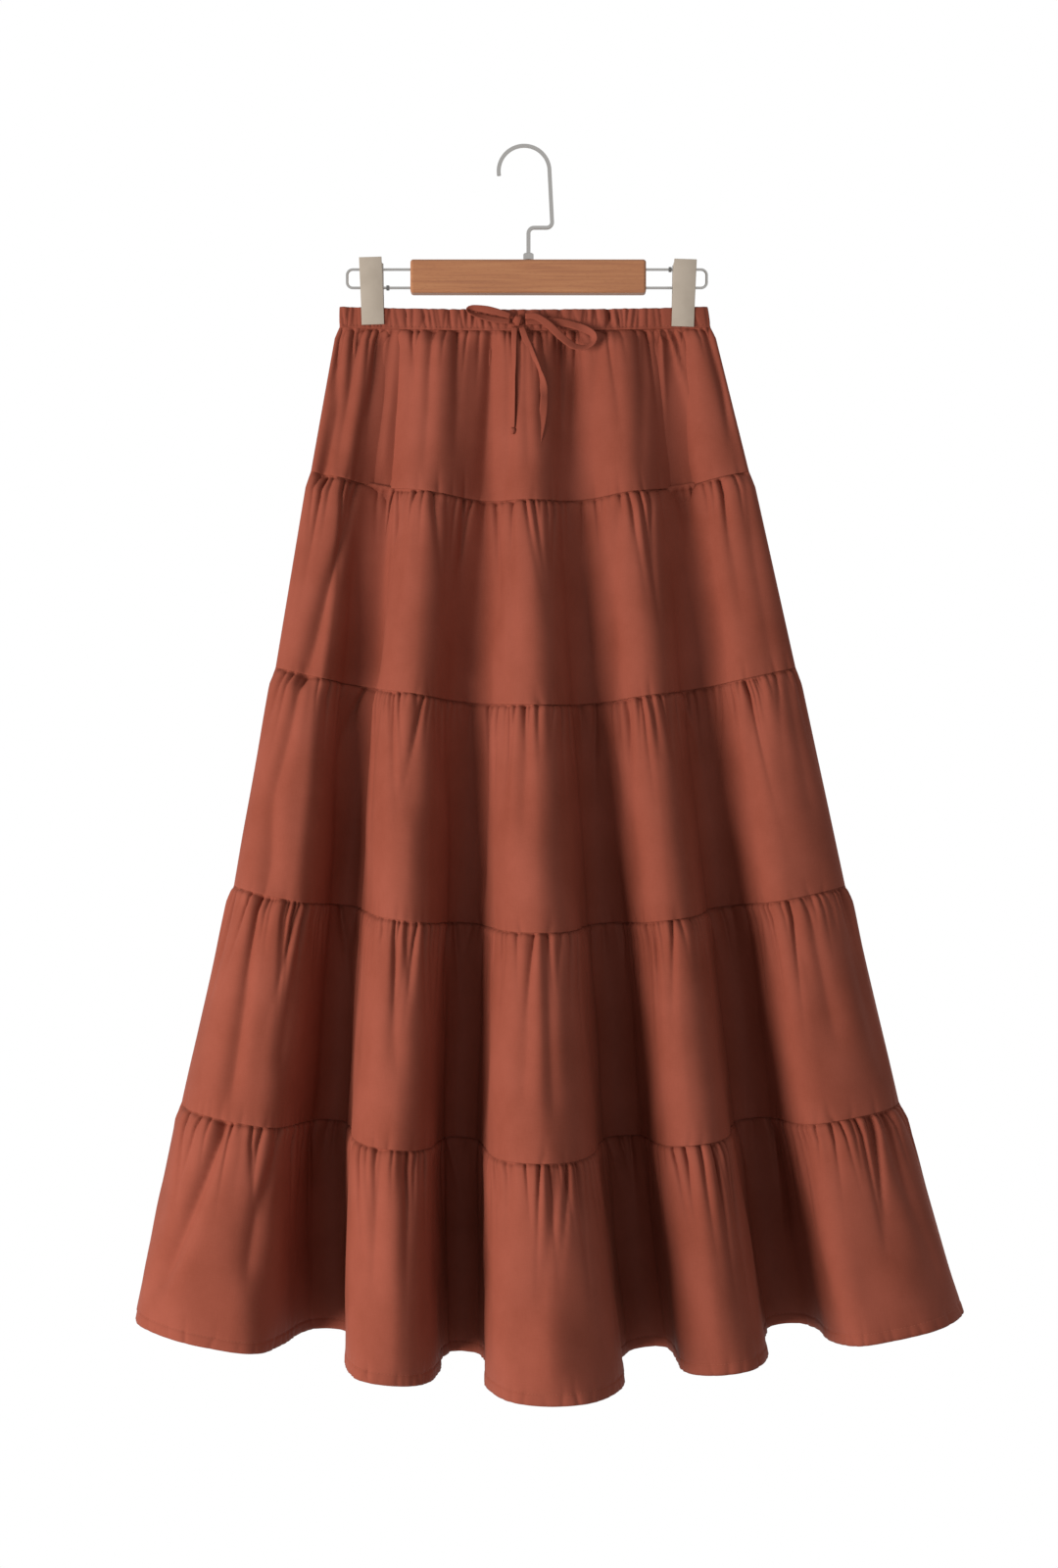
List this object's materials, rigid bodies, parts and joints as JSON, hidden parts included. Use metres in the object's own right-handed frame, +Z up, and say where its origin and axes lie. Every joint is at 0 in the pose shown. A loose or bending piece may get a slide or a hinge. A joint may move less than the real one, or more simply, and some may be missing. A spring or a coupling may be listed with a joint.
{
  "type": "tiered ruffle skirt on a wooden clip hanger",
  "caption": "Long gathered tiered skirt in plain terracotta cotton with a drawstring casing waist, hung by its waist from a wooden clip hanger.",
  "frame": {"origin": "on the underside of the hook's crown, where the rail carries the hanger", "axes": "+Z up, the front of the skirt faces -Y, +X to the right of someone looking at its front"},
  "size_m": [0.7362, 0.2762, 1.0844],
  "materials": {
    "cloth": "matt plain-weave cotton with a slight sheen",
    "drawstring": "narrow tie sewn from the same cotton",
    "wood": "satin varnish",
    "wire": "bright drawn wire",
    "clip": "matt greige coating",
    "spring": "plain"
  },
  "bodies": {
    "root": {"waist_casing_front": "cloth", "waist_casing_back": "cloth", "tier_1_front": "cloth", "tier_1_back": "cloth", "tier_2_front": "cloth", "tier_2_back": "cloth", "tier_3_front": "cloth", "tier_3_back": "cloth", "tier_4_front": "cloth", "tier_4_back": "cloth", "tier_5_front": "cloth", "tier_5_back": "cloth", "drawstring_knot": "drawstring", "drawstring_left_loop": "drawstring", "drawstring_right_loop": "drawstring", "drawstring_left_tail": "drawstring", "drawstring_right_tail": "drawstring", "drawstring_tail_knot": "drawstring", "hanger_bar": "wood", "hanger_hook": "wire", "hook_ferrule": "wire", "slide_wire_left": "wire", "slide_wire_right": "wire", "wire_stop_left": "wire", "wire_stop_right": "wire", "clip_left_front": "clip", "clip_left_back": "clip", "clip_right_front": "clip", "clip_right_back": "clip", "clip_left_spring": "spring", "clip_right_spring": "spring"}
  },
  "joints": []
}
